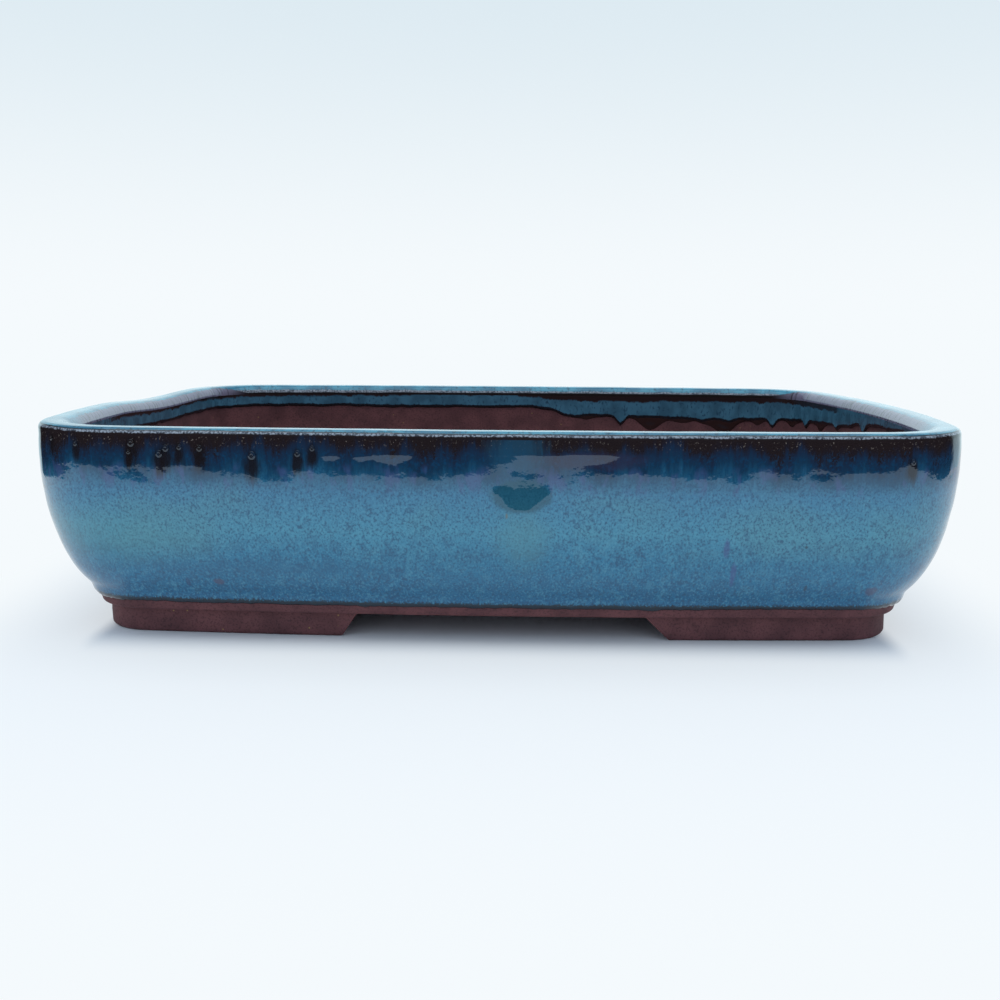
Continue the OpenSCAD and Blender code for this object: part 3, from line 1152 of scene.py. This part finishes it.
# %% Collar glaze
def collar_glaze():
    material, tree = new_material("teal_collar_glaze")
    place, xyz = run_of(tree)
    speck = grain(tree, place, 0.8, 2.0, 3.0, 5.0)
    blot = grain(tree, place, 5.0, 1.5, 2.0, 25.0)
    to_left = step_up(tree, xyz[0], 0.0, -100.0)
    to_right = step_up(tree, xyz[0], 0.0, 22.0)
    further = both(tree, to_left, 55.0)
    behind = pushed(tree, xyz[1], further, centred(tree, blot, 30.0))
    ragged = pushed(tree, xyz[2], centred(tree, speck, 1.4), centred(tree, blot, 2.6))
    lower = pushed(
        tree, both(tree, to_right, 2.0), both(tree, to_left, 1.2)
    )
    brown = step_up(tree, pushed(tree, ragged, lower), 49.6, 50.3)
    brown = both(tree, brown, step_up(tree, behind, 26.0, 38.0))
    teal = lay(tree, "#386177", step_up(tree, blot, 0.35, 0.65), "#467790")
    teal = lay(tree, teal, step_up(tree, speck, 0.45, 0.3), "#2c5066")
    paint = lay(tree, teal, brown, "#2a2021")
    above = add(tree, "ShaderNodeAttribute", attribute_name="above").outputs["Fac"]
    above = pushed(tree, above, centred(tree, speck, 0.7))
    paint = lay(tree, paint, step_up(tree, above, 0.75, 0.35), "#141a22")
    paint = lay(tree, paint, step_up(tree, above, -0.25, -0.5), "#33211f")
    finish(tree, {"Base Color": paint, "Roughness": 0.07, "IOR": 1.6, "Specular Tint": sheen})
    return material


above_layer = collar.data.attributes.new("above", "FLOAT", "POINT")
for v in collar.data.vertices:
    x, y, z = v.co / MM
    (ox, oy), _, _ = beside(x, y)
    above_layer.data[v.index].value = z - teal_line(ox, oy)
wear(collar, collar_glaze())
print("collar glaze on", collar.name)


# %% [markdown]
# ### The clay
# Iron-rich stoneware, left bare and fired to a dark reddish brown. It is matte, with a fine
# grog: crushed fired clay that shows as pale and yellow specks up to half a millimetre.


# %% Bare clay
def bare_clay(name, dark, light):
    material, tree = new_material(name)
    local = add(tree, "ShaderNodeTexCoord").outputs["Object"]
    place = add(tree, "ShaderNodeMapping", {"Vector": local, "Scale": (1000, 1000, 1000)}).outputs[0]
    cloud = grain(tree, place, 7.0, 1.0, 3.0)
    fine = grain(tree, place, 0.5, 1.0, 3.0, 9.0, 0.7)
    paint = lay(tree, dark, step_up(tree, cloud, 0.3, 0.7), light)
    paint = lay(tree, paint, step_up(tree, fine, 0.5, 0.38), "#2e2024", 0.5)
    grog = add(tree, "ShaderNodeTexVoronoi", {"Vector": place, "Scale": 0.55}, feature="F1")
    lot = add(tree, "ShaderNodeSeparateXYZ", {0: grog.outputs["Color"]}).outputs[0]
    crumb = step_up(tree, grog.outputs["Distance"], 0.15, 0.08)
    chosen = add(tree, "ShaderNodeMath", {0: lot, 1: 0.86}, operation="GREATER_THAN").outputs[0]
    crumbs = both(tree, crumb, chosen)
    paint = lay(tree, paint, crumbs, "#93754f")
    bump = add(tree, "ShaderNodeBump", {"Strength": 0.5, "Distance": 0.0001, "Height": fine})
    looks = {"Base Color": paint, "Roughness": 0.78, "IOR": 1.5, "Specular IOR Level": 0.35}
    finish(tree, {**looks, "Normal": bump.outputs[0]})
    return material


clay_material = bare_clay("bare_red_stoneware", "#5c393d", "#704649")
for piece in walls + [base, coil] + list(feet.values()):
    wear(piece, clay_material)
print("clay on", len(walls) + 2 + len(feet), "pieces")

# %% [markdown]
# ## Settling in the kiln
# The left wall sank a little in the firing, so its rim dips behind the middle. This comes
# last, so that the patterns marked on the glaze sink with it.


# %% Settle the left wall
def settle(piece):
    for v in piece.data.vertices:
        x, y, z = v.co / MM
        side = min(1, max(0, (-x - 80) / 30))
        middle = max(0, 1 - ((y - 22) / 38) ** 2) ** 2
        high = min(1, max(0, (z - 25) / 25))
        v.co.z -= 1.1 * side * middle * high * MM
    piece.data.update()


for piece in walls + [outer_coat, rim_coat, collar]:
    settle(piece)
print("settled:", len(walls) + 3, "pieces")

# %% [markdown]
# ## One body
# The pot is fired into one rigid thing, so every piece rides on the root.

# %% Ride
for piece in walls + [base, coil, outer_coat, rim_coat, collar] + list(feet.values()) + blisters:
    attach(piece, "root")
print("riding on the root:", len(walls) + 5 + len(feet) + len(blisters), "pieces")

# %% [markdown]
# ## The set
# A pale sheet under the pot, a bright backdrop behind it, a soft light overhead and a dark
# room in front. Glaze is a mirror, so the room matters: the front wall shows the sheet up to
# its near edge, and above that the dark room.

# %% Floor
deselect()
sheet = {"left": -0.31, "right": 0.36, "front": -0.292, "back": 0.9}
bpy.ops.mesh.primitive_plane_add(size=1)
floor = bpy.context.object
floor.name = floor.data.name = "pale_sheet"
bpy.ops.object.mode_set(mode="EDIT")
sheet_size = (sheet["right"] - sheet["left"], sheet["back"] - sheet["front"], 1)
sheet_middle = ((sheet["right"] + sheet["left"]) / 2, (sheet["back"] + sheet["front"]) / 2, 0)
bpy.ops.transform.resize(value=sheet_size)
bpy.ops.transform.translate(value=sheet_middle)
bpy.ops.object.mode_set(mode="OBJECT")
print("sheet:", sheet)

# %% [markdown]
# The sheet carries painted light: it glows by itself, not at all under the pot and more and
# more with distance from the feet, so only a short shadow is left round them. `away` is the
# distance from the pot's foot line, counted threefold at the ends, where the glow leaves the
# shadow shortest. Towards its edges the sheet takes on the backdrop's own tone, so that no
# edge shows.

# %% Sheet material
sheet_tone = "#f5fafd"
foot_line = (0.095, 0.071, 0.0)
floor_material, tree = new_material("pale_sheet")
local = add(tree, "ShaderNodeTexCoord").outputs["Object"]
away = add(tree, "ShaderNodeVectorMath", {0: local}, operation="ABSOLUTE").outputs[0]
steps_outwards = [
    # beyond the foot line, not inside it, threefold at the ends
    ("SUBTRACT", foot_line), ("MAXIMUM", (0.0, 0.0, 0.0)), ("MULTIPLY", (3.0, 1.0, 1.0)),
]
for operation, amount in steps_outwards:
    away = add(tree, "ShaderNodeVectorMath", {0: away, 1: amount}, operation=operation).outputs[0]
away = add(tree, "ShaderNodeVectorMath", {0: away}, operation="LENGTH").outputs["Value"]
# Painted light: the sheet's own glow, none under the pot, rising over 20 mm from the feet and again
# towards the sheet's edges.
near_share = both(tree, step_up(tree, away, 0.0, 0.02), 0.6)
far_share = both(tree, step_up(tree, away, 0.03, 0.17), 0.4)
share = pushed(tree, near_share, far_share)
paper = add(tree, "ShaderNodeBsdfDiffuse", {"Color": (0.88, 0.94, 1.0, 1.0)})
painted_glow = add(tree, "ShaderNodeEmission", {"Color": colour(sheet_tone), "Strength": 1.0})
blend = add(tree, "ShaderNodeMixShader", {0: share, 1: paper.outputs[0], 2: painted_glow.outputs[0]})
add(tree, "ShaderNodeOutputMaterial", {"Surface": blend.outputs[0]})
wear(floor, floor_material)
print("sheet tone:", sheet_tone)

# %% [markdown]
# The room differs by what meets it. The camera sees a pale gradient and matte surfaces get an
# even light. Glaze mirrors a backdrop that is brightest straight behind the pot, a dim ceiling,
# and otherwise a nearly black room.

# %% Room
world = bpy.data.worlds.new("studio")
bpy.context.scene.world = world
world.use_nodes = True
tree = world.node_tree
tree.nodes.clear()
dark_room = (0.012, 0.012, 0.013, 1.0)
backdrop_side = (0.70, 0.91, 0.98, 1.0)
backdrop_middle = (1.0, 1.22, 1.3, 1.0)
even_light = (0.61, 0.70, 0.80, 1.0)
direction = add(tree, "ShaderNodeTexCoord").outputs["Generated"]
height = add(tree, "ShaderNodeSeparateXYZ", {0: direction}).outputs[2]
dot = add(tree, "ShaderNodeVectorMath", {0: direction, 1: (0.159, 0.987, 0.0)}, operation="DOT_PRODUCT")
towards = dot.outputs["Value"]
backdrop = step_up(tree, towards, 0.53, 0.63)
ceiling = both(tree, step_up(tree, height, 0.25, 0.8), 0.35)
bright = lay(tree, backdrop_side, step_up(tree, towards, 0.72, 0.95), backdrop_middle)
lit = add(tree, "ShaderNodeMath", {0: backdrop, 1: ceiling}, operation="MAXIMUM").outputs[0]
mirrored = lay(tree, dark_room, lit, bright)
seen = lay(tree, sheet_tone, step_up(tree, height, 0.0, 0.32), "#dbe9f1")
ray = add(tree, "ShaderNodeLightPath").outputs
shown = lay(tree, mirrored, ray["Is Camera Ray"], seen)
shown = lay(tree, shown, ray["Is Diffuse Ray"], even_light)
background = add(tree, "ShaderNodeBackground", {"Color": shown, "Strength": 1.0})
add(tree, "ShaderNodeOutputWorld", {"Surface": background.outputs[0]})
print("room:", world.name)


# %% Lights
def soft_light(name, place, aim, size, power, shade):
    deselect()
    bpy.ops.object.light_add(type="AREA", location=place)
    lamp = bpy.context.object
    lamp.name = name
    lamp.data.shape = "RECTANGLE"
    lamp.data.size, lamp.data.size_y = size
    lamp.data.energy = power
    lamp.data.color = colour(shade)[:3]
    lamp.rotation_euler = (Vector(place) - Vector(aim)).to_track_quat("Z", "Y").to_euler()
    lamp.visible_camera = False
    return lamp


soft_light("overhead", (0.0, -0.05, 0.9), (0, 0, 0), (1.1, 0.8), 3.2, "#fff6ea")

# %% [markdown]
# ## The camera
# It stands a third of a metre in front of the pot's middle, a little above the rim, and looks
# down by almost ten degrees.

# %% Camera
camera_place = Vector((9.8, -336.1, 78.0)) * MM
pitch, yaw, roll_angle = math.radians(9.32), math.radians(1.76), math.radians(0.34)
deselect()
bpy.ops.object.camera_add(location=camera_place)
camera = bpy.context.object
camera.rotation_mode = "QUATERNION"
level_way = math.cos(pitch)
heading = Vector((-math.sin(yaw) * level_way, math.cos(yaw) * level_way, -math.sin(pitch)))
level = (-heading).to_track_quat("Z", "Y")
camera.rotation_quaternion = level @ Quaternion((0, 0, 1), roll_angle)
camera.data.sensor_width = 36
camera.data.lens = 39.6
bpy.context.scene.camera = camera
bpy.context.scene.view_settings.view_transform = "Standard"
print("camera at", [round(c, 4) for c in camera.location])
